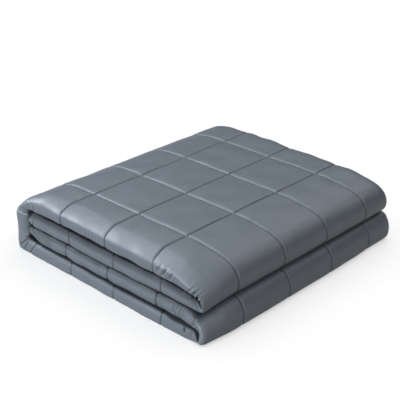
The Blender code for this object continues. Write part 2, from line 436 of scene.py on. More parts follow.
# the outside, all round
SECTION = [Point(y, 0.0, 0.0, 0) for y in INNER_Y]
SECTION += rounded_fold(FRONT_STEPS, 0.0, 1)
SECTION += [Point(y, 1.0, 0.0, 0) for y in outer_y]
SECTION += reversed(rounded_fold(BACK_STEPS, middle_low, -1))

# the middle ply, forwards to its free edge and back again
SECTION += hidden((4.4, middle_low), (2.5, middle_low), (0.54, middle_low), (0.44, 0.45))
SECTION += hidden((0.44, 0.55), (0.54, middle_top), (2.5, middle_top), (4.4, middle_top))

# the underside of the outer ply
SECTION += hidden((4.5, outer_low - 0.7 * PLY_GAP), (4.5, outer_low - 0.3 * PLY_GAP), (4.4, outer_low))
SECTION += hidden((2.5, outer_low), (0.50, outer_low), (0.42, 0.58), (0.42, 0.42))

# the upper side of the inner ply, and its hem
SECTION += hidden((0.50, PLY), (2.5, PLY), (4.2, PLY), (4.42, PLY), (4.48, 0.85 * PLY))
SECTION += hidden((4.53, hem_top), (4.58, hem_top), (4.63, hem_top), (4.64, 0.5 * PLY))
SECTION += hidden((4.63, hem_low), (4.58, hem_low), (4.53, hem_low), (4.46, 0.10 * PLY))
section_y, section_t, section_turn, section_end = np.array(SECTION).T
print(len(SECTION), "points across the plies")


# %% [markdown]
# ## Pillows between the seams
#
# A sewn line pulls both faces of the cloth together, and the filling swells between the lines. Close
# to a seam the cloth rises steeply, and the middle of a cell is nearly flat. So we need one curve, how
# full the cloth is at a distance from a seam, and the product of two of them makes a pillow. The
# thread itself bites a narrow crease into the bottom of that valley.

# %% How full the cloth is
CREASE = 0.013  # depth of the narrow line that the thread pulls in
CREASE_REACH = 0.011
STEEP_PART = 0.72  # how much of the rise happens right beside the seam
STEEP_POWER = 22  # a high power keeps the middle of a cell flat
SOFT_POWER = 3


def fullness(away):
    """0 on a seam and 1 in the middle of a cell, for distances in cells."""
    side = 1 - 2 * np.minimum(away, 0.5)
    return STEEP_PART * np.sqrt(1 - side**STEEP_POWER) + (1 - STEEP_PART) * (1 - side**SOFT_POWER)


def distance_to(places, lines):
    """Distance from each place to the nearest line."""
    return np.min([np.abs(places - line) for line in lines], axis=0)


def near(away, reach):
    """1 on a line, falling to 0 away from it."""
    return np.exp(-((away / reach) ** 2))


def uneven(a, b, length, seed, count=16):
    """A smooth random field over two coordinates, mostly between -1 and 1, made of a few waves."""
    numbers = np.random.default_rng(seed)
    turn = numbers.uniform(0, 2 * math.pi, count)
    frequency = 2 * math.pi / (length * numbers.uniform(0.7, 1.5, count))
    starts = numbers.uniform(0, 2 * math.pi, count)
    total = np.zeros(np.broadcast(a, b).shape)
    for wave_a, wave_b, start in zip(np.cos(turn) * frequency, np.sin(turn) * frequency, starts):
        total += np.sin(wave_a * a + wave_b * b + start)
    return total / math.sqrt(count)


print("half full", round(float(fullness(0.03)), 2), "at 3.5 mm from a seam")


# %% [markdown]
# ## Puckers
#
# Where the cloth is gathered it folds into small valleys that run away from the edge. The deep ones
# cast a shadow, so they are shaped, and painted shade darkens their bottoms too. Each is listed: the
# part of the ribbon it may shape, the two ends of its line on the front, its width, its depth and how
# much painted shade darkens its bottom.
# Places along the ribbon are counted in cells from the upper free end.

# %% Puckers on the front
Pucker = namedtuple("Pucker", "span x0 z0 x1 z1 wide deep dark")

UPPER_TURN_AT = 4.1  # halfway round the upper right fold
WALL_AT = 9.0  # at the foot of the wall
LOWER_TURN_AT = 13.5  # halfway round the lower right fold

SECOND_SPAN = (0.0, UPPER_TURN_AT)
TOP_SPAN = (UPPER_TURN_AT, 8.3)
BOTTOM_SPAN = (8.6, LOWER_TURN_AT)
THIRD_SPAN = (LOWER_TURN_AT, 18.0)
TOP_TURN = (7.4, 8.7)  # where the top turns down into the wall
BOTTOM_TURN = (8.6, 9.6)
PUCKERS = (
    Pucker(TOP_SPAN, 3.20, 1.00, 3.10, 0.82, 0.016, 0.014, 0.2),
    Pucker(TOP_SPAN, 3.31, 0.98, 3.21, 0.80, 0.020, 0.020, 0.3),
    Pucker(TOP_SPAN, 3.42, 0.93, 3.34, 0.78, 0.018, 0.014, 0.2),
    Pucker(TOP_SPAN, 3.79, 0.88, 3.72, 0.74, 0.016, 0.016, 0.3),
    Pucker(TOP_SPAN, 3.86, 0.85, 3.78, 0.70, 0.016, 0.020, 0.4),
    Pucker(TOP_SPAN, 3.92, 0.80, 3.84, 0.66, 0.016, 0.020, 0.4),
    Pucker(TOP_SPAN, 3.96, 0.73, 3.89, 0.61, 0.013, 0.016, 0.3),
    Pucker(TOP_SPAN, 0.37, 0.92, 0.33, 0.80, 0.014, 0.010, 0.2),
    Pucker(SECOND_SPAN, 3.745, 0.76, 3.735, 0.60, 0.014, 0.020, 1.0),
    Pucker(SECOND_SPAN, 3.55, 0.72, 3.56, 0.66, 0.010, 0.012, 0.8),
    Pucker(THIRD_SPAN, 3.40, 0.46, 3.40, 0.28, 0.013, 0.012, 0.3),
    Pucker(THIRD_SPAN, 3.84, 0.38, 3.80, 0.24, 0.013, 0.014, 0.3),
    Pucker(BOTTOM_SPAN, 3.70, 0.25, 3.67, 0.11, 0.015, 0.018, 1.0),
    Pucker(BOTTOM_SPAN, 3.80, 0.20, 3.81, 0.06, 0.012, 0.010, 0.3),
    Pucker(TOP_TURN, 0.20, 0.762, -0.06, 0.780, 0.012, 0.004, 1.0),
    Pucker(TOP_TURN, 0.16, 0.800, 0.04, 0.850, 0.011, 0.002, 0.3),
    Pucker(BOTTOM_TURN, -0.30, -0.136, 0.15, 0.264, 0.010, 0.004, 1.0),
    Pucker(BOTTOM_TURN, -0.10, -0.176, 0.20, 0.265, 0.010, 0.004, 0.8),
)
print(len(PUCKERS), "puckers")


# %% [markdown]
# ## The skin
#
# Every section is laid between the outer and the inner face of the ribbon. That gives the smooth
# shape without a seam. At the front the layers part a little, like the pages of a book, so there
# each fold is lifted, dropped or drawn in by what the stretch table says.

# %% Round the folds of the thirds
SLIP_FROM = 0.5  # the plies slip backwards over each other behind this line
SLIP_REACH = 3.5


def folds_at(along):
    """What the stretch table says at places along the ribbon."""
    at = np.interp(along, outer_length, ribbon_at)
    return Stretch(None, *(np.interp(at, ribbon_at, line)[:, None] for line in folds))


def rounded(fold):
    """Where each point lies across the ribbon and through it, with its folds rounded."""
    edge = np.where(section_t > 0.5, fold.outer_edge, fold.inner_edge)
    on_outer_edge = (section_turn > math.pi / 2) & (section_end == 1)
    square = np.where(on_outer_edge, fold.square, SQUARENESS)
    fold_across, fold_out = round_off(section_turn, square)
    low_t = np.where(section_end == -1, middle_low, 0.0)
    t = np.where(section_end == 0, section_t, (low_t + 1 - fold_across * (1 - low_t)) / 2)
    bend = 1 - fold_out
    across = section_y + fold.slip * np.clip((section_y - SLIP_FROM) / SLIP_REACH, 0, 1)
    across = np.where(section_end == 1, fold.front + edge * bend, across)
    across = np.where(section_end == -1, fold.back - fold.back_edge * bend, across)
    return across, t


across, _ = rounded(folds_at([UPPER_TURN_AT]))
print("the upper fold is", round(float(np.ptp(across)) * CELL, 3), "m deep")


# %% [markdown]
# Each point is now a part t of the way from the inner face of the ribbon to the outer one. The right
# folds are drawn in where the real ones are pinched, at the front, and the lower one at the back.

# %% Lay the smooth skin
MOUTH_Y = 0.3  # the line at the front where the layers part
MOUTH_REACH = 0.3
DROOP_REACH = 0.42
SAG = 0.006  # how far the top's edge at the wall sinks for each cell behind SAG_FROM
SAG_FROM = 0.9
SAG_REACH = 3.0
RIGHT_X = 3.5  # the layers begin to turn round to the right of this line
RIGHT_REACH = 0.4
LOWER_Z = 0.5  # the lower fold ends below this height
LOWER_REACH = 0.1
NARROWER = 0.02  # how far the right folds are drawn in at the front
BACK_Y = 4.6  # and the lower one at the back
BACK_REACH = 0.9
BACK_NARROWER = 0.04


def smooth_skin(along):
    """The skin before it is sewn, as sections by points by x, y, z, in cells."""
    at = np.interp(along, outer_length, ribbon_at)
    outer_x, outer_z, inner_x, inner_z = (np.interp(at, ribbon_at, line)[:, None] for line in ribbon)
    fold = folds_at(along)
    across, t = rounded(fold)
    thickness = np.hypot(outer_x - inner_x, outer_z - inner_z)
    sag = fold.sag * SAG * np.clip(across - SAG_FROM, 0, SAG_REACH) / thickness
    right = np.clip((outer_x - RIGHT_X) / RIGHT_REACH, 0, 1)
    lower = np.clip((LOWER_Z - outer_z) / LOWER_REACH, 0, 1)
    mouth = near(across - MOUTH_Y, MOUTH_REACH)
    lower_back = BACK_NARROWER * near(across - BACK_Y, BACK_REACH)
    drawn_in = right * (NARROWER * mouth + lower * (NARROWER * t * mouth + lower_back))
    t = t + mouth * (fold.inner_lift * (1 - t) - fold.outer_lift * t)
    t = t * (1 - fold.droop * near(across - MOUTH_Y, DROOP_REACH))
    points = np.empty((len(along), len(SECTION), 3))
    points[..., 0] = inner_x + (outer_x - inner_x) * t * (1 - sag) - drawn_in
    points[..., 1] = across
    points[..., 2] = inner_z + (outer_z - inner_z) * t * (1 - sag) - fold.drop * mouth
    return points


# tight turns and small puckers need more sections
FINE_ZONES = ((0.0, 0.3), (3.37, 3.44), (3.55, 3.64), (4.05, 5.15), (6.3, 6.8), (7.55, 9.3))
FINE_ZONES += ((12.86, 12.96), (13.0, 13.06), (13.5, 14.4), (14.7, 15.1), (16.9, 17.5))

along = places_between((0.0, *seam_at, RIBBON_LENGTH), FINE_ZONES)
bare = smooth_skin(along)
print(len(along), "sections; highest point", round(float(bare[..., 2].max()), 3), "cells")


# %% [markdown]
# The cloth is pushed in and out along its normals. On a grid of points a normal is the cross product
# of the steps to the neighbours both ways.

# %% Normals
TINY = 1e-9  # so that nothing is divided by zero


def unit(vectors):
    """The vectors made one long."""
    return vectors / np.maximum(np.linalg.norm(vectors, axis=-1, keepdims=True), TINY)


def outward(points):
    """The directions that point out of the skin."""
    around = np.roll(points, -1, axis=1) - np.roll(points, 1, axis=1)
    forward = np.gradient(points, axis=0)
    return unit(np.cross(around, forward))


def on_span(span):
    """1 for the sections of one part of the ribbon."""
    return ((along >= span[0]) & (along <= span[1]))[:, None]


out = outward(bare)
print(len(out), "by", len(SECTION), "normals")


# %% [markdown]
# ## Sewing
#
# On the real blanket the thread pulls all the plies together. Grooves cut with a Boolean would have
# sharp edges, so each point is pushed in along its normal instead, by how close it lies to a seam. On
# the front folds the doubled cloth gives way less, so the notch there is shallower than the groove.

# %% Pull in the seams
FACE_REACH = 0.35  # how far behind the front the faces have their full groove
STEEPER = 0.6  # how much faster the cloth rises beside a seam on the front folds
HEM_CREASE = 0.6 * CREASE

outside = (section_t == 1.0) | (section_end != 0)  # the outer ply and the folds of the thirds
seen = outside | (section_t == 0.0)
from_cross = distance_to(along, full_seams)[:, None]
from_hem = distance_to(along, hem_seams)[:, None]
outer_length_away = np.where(section_t == 1.0, distance_to(section_y, LENGTH_SEAMS), 1.0)
from_length = outer_length_away[None, :]
fold = folds_at(along)
behind = bare[..., 1] - bare[..., 1].min(axis=1, keepdims=True)
face = np.clip(behind / FACE_REACH, 0, 1)
face = face**2 * (3 - 2 * face)
full = fullness(from_cross * (1 + STEEPER - STEEPER * face)) * fullness(from_length)
full *= 1 - HEM * (1 - fullness(from_hem))
valley = fold.notch + (fold.groove - fold.notch) * face
push = -valley * (1 - full)
push -= CREASE * np.maximum(near(from_cross, CREASE_REACH), near(from_length, CREASE_REACH))
push -= HEM_CREASE * near(from_hem, CREASE_REACH)
print("deepest seam", round(float(-push.min()) * CELL * 1000, 1), "mm")


# %% [markdown]
# The filling is uneven, and the thread gathers the cloth beside each seam into fine ripples. Both are
# smooth random fields. A field that is counted slower one way is stretched, and gives ripples.

# %% Lumps of filling and gathers beside the seams
LUMP_LENGTH = 0.55
LUMP_HEIGHT = 0.14  # as a part of the groove
GATHER_LENGTH = 0.2
GATHER_HEIGHT = 0.0025
GATHER_REACH = 0.14
THREAD_REACH = 0.02  # the thread holds the cloth flat this close to it
SLOWER = 0.2

lumps = uneven(along[:, None], bare[..., 1], LUMP_LENGTH, seed=3)
push += LUMP_HEIGHT * fold.groove * lumps * full * outside
gathers = uneven(SLOWER * along[:, None], bare[..., 1], GATHER_LENGTH, seed=5)
gathers = gathers * near(from_cross, GATHER_REACH) * (1 - near(from_cross, THREAD_REACH))
push += GATHER_HEIGHT * gathers * outside
gathers = uneven(along[:, None], SLOWER * bare[..., 1], GATHER_LENGTH, seed=6)
gathers = gathers * near(from_length, GATHER_REACH) * (1 - near(from_length, THREAD_REACH))
push += GATHER_HEIGHT * gathers
print("highest lump", round(float(lumps.max()) * LUMP_HEIGHT, 2), "of a groove")


# %% [markdown]
# A pucker is a narrow valley with a slight swelling on each side. Its line is given as x and height on
# the front, and a point on a face behind the front counts as if the face were rolled out.

# %% Press in the puckers
FRONT_REACH = 0.15  # how far behind the front puckers keep their depth, and then fade
DEEPER = 1.2  # makes up for the swelling
SWELLING = 0.20  # as a part of the depth
SWELLING_AT = 2.2  # in widths of the pucker
DARK_WIDTH = 0.6

faces_up = (along > UPPER_TURN_AT) & (along < WALL_AT) | (along > LOWER_TURN_AT)
rolled_up = np.where(section_t > 0.5, 1.0, -1.0) * np.where(faces_up, 1.0, -1.0)[:, None]
height = bare[..., 2] + rolled_up * behind
front = near(np.maximum(behind - FRONT_REACH, 0), FRONT_REACH)


def from_line(x, z, line):
    """Distance of places from a pucker's line, and how far along it they are, from 0 to 1."""
    run_x, run_z = line.x1 - line.x0, line.z1 - line.z0
    part = ((x - line.x0) * run_x + (z - line.z0) * run_z) / (run_x**2 + run_z**2)
    part = np.clip(part, 0, 1)
    return np.hypot(x - line.x0 - part * run_x, z - line.z0 - part * run_z), part


# painted shade: how dark the bottom of each pucker is painted, for the finish to read
pucker_shade = np.zeros(push.shape)  # how dark the bottom of a pucker is
for pucker in PUCKERS:
    away, part = from_line(bare[..., 0], height, pucker)
    shown = np.clip(2 * part, 0, 1) * front * on_span(pucker.span)
    valley = near(away, pucker.wide)
    valley = valley - SWELLING * near(away - SWELLING_AT * pucker.wide, pucker.wide)
    push -= DEEPER * pucker.deep * valley * shown
    # the bottom of a pucker gets painted shade besides its real valley
    dark = near(away, DARK_WIDTH * pucker.wide) * shown * pucker.dark
    pucker_shade = np.maximum(pucker_shade, dark * outside)
print("puckered", round(float((pucker_shade > 0.1).mean()), 4), "of the points")


# %% [markdown]
# Some parts of the front are wavy, which is a sine wave of uneven height that leans a little and fades
# at both ends. Then the cloth is moved by the sum of all pushes, and kept above the floor.

# %% Ripple the front and move the cloth
RippleBand = namedtuple("RippleBand", "span low_x high_x z long pitch deep")

RIPPLES = (
    RippleBand(THIRD_SPAN, 0.25, 0.75, 0.390, 0.10, 0.052, 0.0095),
    RippleBand(THIRD_SPAN, 2.62, 3.02, 0.400, 0.08, 0.062, 0.0035),
    RippleBand(THIRD_SPAN, 3.38, 3.92, 0.360, 0.09, 0.066, 0.0060),
    RippleBand(TOP_SPAN, 3.62, 4.02, 0.760, 0.12, 0.058, 0.0050),
    RippleBand(TOP_SPAN, 1.45, 1.95, 0.840, 0.06, 0.080, 0.0022),
)
RIPPLE_LEAN = 0.3
RIPPLE_FADE = 0.08  # how far the ends of a band fade
UNEVEN_PART = 0.5
UNEVEN_LENGTH = 0.3

x = bare[..., 0]
for band in RIPPLES:
    wave = np.sin(2 * math.pi * (x - RIPPLE_LEAN * (height - band.z)) / band.pitch)
    wave *= 1 + UNEVEN_PART * uneven(x, height, UNEVEN_LENGTH, seed=8)
    inside = np.clip(np.minimum(x - band.low_x, band.high_x - x) / RIPPLE_FADE, 0, 1)
    inside = inside * near(height - band.z, band.long)
    push += band.deep * wave * inside * front * on_span(band.span)
skin = bare + out * (push * seen)[..., None]
skin[..., 2] = np.maximum(skin[..., 2], 0.0)
print("sewn; highest point", round(float(skin[..., 2].max()), 3), "cells")


# %% [markdown]
# ## Shade between the layers
#
# Little light gets into the gaps between the layers. Lamps alone leave them too light in a small
# picture, so the mesh keeps a number for each point, from 0 in the open to 1 right under the edge of
# the layer above, and the finish reads it.

# %% What lies under an edge
FLOOR_SPAN = (8.95, LOWER_TURN_AT)
SHADES = (  # upper layer, lower layer and how far down the shade reaches
    (TOP_SPAN, SECOND_SPAN, 0.11),
    (SECOND_SPAN, THIRD_SPAN, 0.075),
    (THIRD_SPAN, FLOOR_SPAN, 0.035),
)
SHADE_END_X = 3.92  # the right folds lie open beyond this line
SHADE_FADE = 0.1
EDGE_LAP = 0.015  # how far the edge above may hide a layer's own edge


def sheltered(points):
    """1 under the front edge of the layer above, falling to 0 at the foot of its shade."""
    z = points[..., 2]
    shade = np.zeros(z.shape)
    front_fold = section_end == 1
    own_top = points[:, front_fold, 2].max(axis=1, keepdims=True)
    open_side = np.clip((SHADE_END_X - points[..., 0]) / SHADE_FADE, 0, 1)
    for upper, lower, depth in SHADES:
        above = points[on_span(upper)[:, 0]]
        edge_x = above[:, front_fold, 0].mean(axis=1)
        edge_z = above[:, front_fold, 2].min(axis=1)
        order = np.argsort(edge_x)
        roof = np.interp(points[..., 0], edge_x[order], edge_z[order])
        roof = np.clip(roof, own_top - EDGE_LAP, own_top)
        under = on_span(lower) * open_side
        shade = np.maximum(shade, under * np.clip(1 - (roof - z) / depth, 0, 1))
    return shade


# painted shade under the layer edges, for the finish to read
shade_of_points = sheltered(skin)
print("shaded", round(float((shade_of_points > 0.5).mean()), 3), "of the points")


# %% [markdown]
# The finish also reads how far each point lies from the nearest seam across the ribbon and along it.
# Lengthwise seams get painted shade on the sides but not on the top, where the light falls into them, so
# a third number leaves them out there.

# %% How far from the seams
SIDE_TOP = 0.90  # height where the sides end and the top begins, in cells

cross_away = distance_to(along, seam_at)[:, None] + np.zeros(len(SECTION))
length_away = outer_length_away + np.zeros((len(along), 1))
on_side = skin[..., 2] < SIDE_TOP
# seams painted in shade: every cross seam, and lengthwise seams only on the sides
painted_shade_seam_away = np.minimum(cross_away, np.where(on_side, length_away, 1.0))
point_numbers = {
    "painted_shade_seam": painted_shade_seam_away,
    "cross_seam": cross_away,
    "length_seam": length_away,
    "sheltered": shade_of_points,
    "pucker_shade": pucker_shade,
}
print("each point keeps:", *point_numbers)


# %% [markdown]
# ## The mesh
#
# Neighbouring sections are joined with faces, and a cap closes each free end. The UV map counts
# metres along and across the cloth, so that a weave drawn with it follows every fold.

# %% Build the mesh
def in_metres(points):
    """Many places counted in cells, in metres."""
    return (points - (MIDDLE_X, MIDDLE_Y, 0.0)) * CELL


def cloth_uv(points):
    """For each corner of each face, the metres along the ribbon and across it."""
    rows, columns, _ = points.shape
    middle = points[rows // 2]
    steps = np.linalg.norm(np.roll(middle, -1, axis=0) - middle, axis=1)
    over = np.concatenate([[0.0], np.cumsum(steps)]) * CELL
    u = along * CELL
    uv = np.empty((rows - 1, columns, 4, 2))
    uv[..., :2, 0] = u[:-1, None, None]
    uv[..., 2:, 0] = u[1:, None, None]
    uv[..., 0, 1] = uv[..., 3, 1] = over[None, :-1]
    uv[..., 1, 1] = uv[..., 2, 1] = over[None, 1:]
    cap_uv = [(0.0, v) for v in over[:-1][::-1]] + [(u[-1], v) for v in over[:-1]]
    return np.concatenate([uv.reshape(-1), np.array(cap_uv).reshape(-1)])


def keep_numbers(mesh, label, numbers):
    """Keep one number for each point of a mesh."""
    attribute = mesh.attributes.new(label, "FLOAT", "POINT")
    attribute.data.foreach_set("value", numbers.astype(np.float32).reshape(-1))


def new_piece(name, mesh):
    """A smooth object at the origin for a finished mesh."""
    mesh.update()
    mesh.shade_smooth()
    piece = bpy.data.objects.new(name, mesh)
    bpy.context.collection.objects.link(piece)
    return piece


def make_skin(name, points):
    """A closed piece over the grid of points."""
    rows, columns, _ = points.shape
    here = np.arange(rows * columns).reshape(rows, columns)
    beside = np.roll(here, -1, axis=1)
    quads = np.stack([here[:-1], beside[:-1], beside[1:], here[1:]], axis=-1).reshape(-1, 4)
    caps = [here[0][::-1].tolist(), here[-1].tolist()]
    mesh = bpy.data.meshes.new(name)
    mesh.from_pydata(in_metres(points).reshape(-1, 3).tolist(), [], quads.tolist() + caps)
    mesh.uv_layers.new(name="cloth").data.foreach_set("uv", cloth_uv(points))
    for label, numbers in point_numbers.items():
        keep_numbers(mesh, label, numbers)
    return new_piece(name, mesh)


blanket = make_skin("quilted_blanket", skin)
check = bmesh.new()
check.from_mesh(blanket.data)
print(len(blanket.data.polygons), "faces, volume", round(check.calc_volume(signed=True), 5), "m3")
check.free()


# %% [markdown]
# ## Stitches
#
# Each stitch is a short, thick dash of thread that lies in the valley. We model one, a small
# ball drawn out along its length, and copy it along every sewn line that can be seen.

# %% One stitch
STITCH_LONG = 0.0032
STITCH_THICK = 0.0010
STITCH_PITCH = 0.0045

bpy.ops.object.select_all(action="DESELECT")
bpy.ops.mesh.primitive_uv_sphere_add(segments=6, ring_count=4, radius=0.5)
pattern = bpy.context.object
bpy.ops.object.mode_set(mode="EDIT")
bpy.ops.mesh.select_all(action="SELECT")
bpy.ops.transform.rotate(value=math.pi / 2, orient_axis="Y", center_override=(0.0, 0.0, 0.0))
bpy.ops.transform.resize(value=(STITCH_LONG, STITCH_THICK, STITCH_THICK))
bpy.ops.object.mode_set(mode="OBJECT")
stitch_points = np.array([vertex.co for vertex in pattern.data.vertices])
stitch_faces = sorted(list(face.vertices) for face in pattern.data.polygons)
bpy.data.objects.remove(pattern)
print("one stitch of", len(stitch_faces), "faces")


# %% [markdown]
# The copies are reckoned in one go and become one mesh, because thousands of objects are slow. Each
# stitch points along its seam, and the cloth's normal is up for it.

# %% Copies along a line
RISE = 0.25 * STITCH_THICK  # of a stitch's middle above the cloth


def stitch_line(places, normals):
    """Stitches along a line of places in metres, lying on the cloth."""
    steps = np.linalg.norm(np.diff(places, axis=0), axis=1)
    run = np.concatenate([[0.0], np.cumsum(steps)])
    count = int(run[-1] / STITCH_PITCH)
    at = (np.arange(count) + 0.5) * STITCH_PITCH
    middle = np.stack([np.interp(at, run, line) for line in places.T], axis=1)
    ahead = np.stack([np.interp(at + 0.5 * STITCH_LONG, run, line) for line in places.T], axis=1)
    up = np.stack([np.interp(at, run, line) for line in normals.T], axis=1)
    forward = unit(ahead - middle)
    side = unit(np.cross(up, forward))
    up = np.cross(forward, side)
    turned = np.einsum("pk,nkc->npc", stitch_points, np.stack([forward, side, up], axis=1))
    return turned + (middle + RISE * up)[:, None, :]


print(int(CELL / STITCH_PITCH), "stitches to a cell")


# %% [markdown]
# Seams across the ribbon are sewn all round the outside, or only on the front fold where they lie
# between layers. Lengthwise seams are sewn where the outer face shows.

# %% Sew the lines that show
SHOWN_SPAN = (3.7, 14.2)  # where the ribbon's outer face shows

outside_columns = np.flatnonzero(outside)
front_columns = np.flatnonzero(section_end == 1)
shown_rows = np.flatnonzero((along > SHOWN_SPAN[0]) & (along < SHOWN_SPAN[1]))


def across_seam(at):
    """Stitches on a seam across the ribbon."""
    row = int(np.argmin(np.abs(along - at)))
    columns = outside_columns if UPPER_TURN_AT < at < LOWER_TURN_AT else front_columns
    return stitch_line(in_metres(skin[row, columns]), out[row, columns])


def lengthwise_seam(y):
    """Stitches on a seam along the ribbon."""
    column = int(np.argmin(np.where(section_t == 1.0, np.abs(section_y - y), math.inf)))
    return stitch_line(in_metres(skin[shown_rows, column]), out[shown_rows, column])


across_stitches = np.concatenate([across_seam(at) for at in seam_at])
lengthwise_stitches = np.concatenate([lengthwise_seam(y) for y in LENGTH_SEAMS])
stitched = np.concatenate([across_stitches, lengthwise_stitches])
print(len(across_stitches), "stitches across and", len(lengthwise_stitches), "along")


# %% [markdown]
# The lengthwise thread catches the light on the top and looks dark elsewhere, so each stitch keeps a
# number, its glint, for a highlight that is painted on the thread there.

# %% The thread as one piece
GLINT_FROM = 0.117  # height in metres where the top begins
GLINT_REACH = 0.006
OFF_FLOOR = 0.0001

# painted highlight: lengthwise stitches on the top get a pale colour
painted_glint = np.repeat([0.0, 1.0], [len(across_stitches), len(lengthwise_stitches)])
painted_glint *= np.clip((stitched[:, :, 2].mean(axis=1) - GLINT_FROM) / GLINT_REACH, 0, 1)
stitched[..., 2] = np.maximum(stitched[..., 2], OFF_FLOOR)
starts = [number * len(stitch_points) for number in range(len(stitched))]
thread_faces = [[start + corner for corner in face] for start in starts for face in stitch_faces]
thread_mesh = bpy.data.meshes.new("seam_stitches")
thread_mesh.from_pydata(stitched.reshape(-1, 3).tolist(), [], thread_faces)
keep_numbers(thread_mesh, "painted_glint", np.repeat(painted_glint, len(stitch_points)))
stitches = new_piece("seam_stitches", thread_mesh)
print(len(stitched), "stitches,", int((painted_glint > 0.5).sum()), "of them bright")


# %% [markdown]
# ## A small language for materials
#
# A material is a graph of nodes, and sums in it are tedious to wire. This class wraps a node's
# output, so that it can be added and multiplied like a number, and one method adds any other node.


# %% Signals
class Signal:
    """A node's output that can be reckoned with."""

    tree = None  # the node tree that new nodes go into

    def __init__(self, socket):
        self.socket = socket

    @classmethod
    def node(cls, kind, inputs, output=0, **settings):
        """Add any node from its type, its settings and its input values."""
        node = cls.tree.nodes.new(kind)
        for name, setting in settings.items():
            setattr(node, name, setting)
        for name, value in inputs.items():
            if isinstance(value, Signal):
                cls.tree.links.new(value.socket, node.inputs[name])
            else:
                node.inputs[name].default_value = value
        return cls(node.outputs[output])

    @classmethod
    def maths(cls, operation, first, second=0.0):
        return cls.node("ShaderNodeMath", {0: first, 1: second}, operation=operation)

    def __add__(self, other):
        return Signal.maths("ADD", self, other)

    def __sub__(self, other):
        return Signal.maths("SUBTRACT", self, other)

    def __rsub__(self, other):
        return Signal.maths("SUBTRACT", other, self)

    def __mul__(self, other):
        return Signal.maths("MULTIPLY", self, other)

    def __pow__(self, other):
        return Signal.maths("POWER", self, other)

    __radd__ = __add__
    __rmul__ = __mul__


print("signals are ready")


# %% [markdown]
# More helpers name what the finishes need. The Mix node has sockets of the same name for numbers,
# vectors and colours, so they are picked by their place.

# %% Helpers for finishes
FACTOR, FIRST_COLOUR, SECOND_COLOUR = 0, 6, 7
COLOUR_RESULT = 2


def scaled(vector, by):
    """A vector signal multiplied by three numbers."""
    return Signal.node("ShaderNodeVectorMath", {0: vector, 1: by}, operation="MULTIPLY")


def mixed(part, first, second):
    """A colour between two colours."""
    inputs = {FACTOR: part, FIRST_COLOUR: first, SECOND_COLOUR: second}
    return Signal.node("ShaderNodeMix", inputs, output=COLOUR_RESULT, data_type="RGBA")


def noise(vector, scale, detail=2.0, roughness=0.5):
    """A noise pattern between 0 and 1."""
    inputs = {"Vector": vector, "Scale": scale, "Detail": detail, "Roughness": roughness}
    return Signal.node("ShaderNodeTexNoise", inputs)


def kept(label):
    """A number that the mesh keeps for each of its points."""
    return Signal.node("ShaderNodeAttribute", {}, output="Fac", attribute_name=label)


def close_to(away, reach):
    """1 on a seam, falling to 0 at its reach, which is in cells."""
    inputs = {"Value": away, "From Max": reach, "To Min": 1.0, "To Max": 0.0}
    step = Signal.node("ShaderNodeMapRange", inputs)
    return step * step


def new_material(name):
    """An empty material, ready for signals, and its shader."""
    material = bpy.data.materials.new(name)
    material.use_nodes = True
    Signal.tree = material.node_tree
    return material, material.node_tree.nodes["Principled BSDF"]


def feed(shader, name, value):
    """Send a signal to a socket of the shader."""
    Signal.tree.links.new(value.socket, shader.inputs[name])


print("helpers for finishes are ready")


# %% [markdown]
# ## Satin cloth
#
# The cloth is a tightly woven satin, finely wrinkled beside the seams and faintly uneven everywhere.
# That is too fine for the mesh, so it is a bump: noise on the cloth's own UV map, drawn out along
# the gathers.

# %% Bump of the cloth
BEAD_SCALE = 70.0  # waves to a metre
WEAVE_SCALE = 2600.0
CROSS_GATHERS = (12.0, 170.0, 1.0)  # waves to a metre along, across and through the cloth
LENGTH_GATHERS = (170.0, 12.0, 1.0)
WRINKLE_REACH = 0.16  # in cells

cloth, shader = new_material("slate_satin_cloth")
uv = Signal.node("ShaderNodeUVMap", {}, uv_map="cloth")
cross = kept("cross_seam")
length = kept("length_seam")
beads = noise(uv, BEAD_SCALE, 3.0, 0.6)
cross_wrinkles = noise(scaled(uv, CROSS_GATHERS), 1.0, 1.0) * close_to(cross, WRINKLE_REACH)
length_wrinkles = noise(scaled(uv, LENGTH_GATHERS), 1.0, 1.0) * close_to(length, WRINKLE_REACH)
weave = noise(uv, WEAVE_SCALE, 0.0)
cloth_height = 0.5 * beads + 0.9 * cross_wrinkles + 0.9 * length_wrinkles + 0.05 * weave
bump_inputs = {"Height": cloth_height, "Strength": 0.75, "Distance": 0.0012}
feed(shader, "Normal", Signal.node("ShaderNodeBump", bump_inputs, output="Normal"))
print("bump from", len(cloth.node_tree.nodes), "nodes")


# %% [markdown]
# The colour is a dark slate that varies a little at random, with painted shade in the thin line of each
# seam and in the puckers. Satin is glossy, so the roughness is fairly low, with a faint cool sheen over
# it.

# %% Colour and gloss of the cloth
SLATE = (0.070, 0.080, 0.092, 1.0)
LIGHTER_SLATE = (0.081, 0.092, 0.104, 1.0)
SEAM_SHADE_SLATE = (0.032, 0.036, 0.044, 1.0)
SEAM_SHADE_REACH = 0.013  # in cells
TONE_SCALE = 9.0
GLOSS_SCALE = 120.0

# painted shade at the bottoms of the puckers
painted_pucker_shade = kept("pucker_shade")
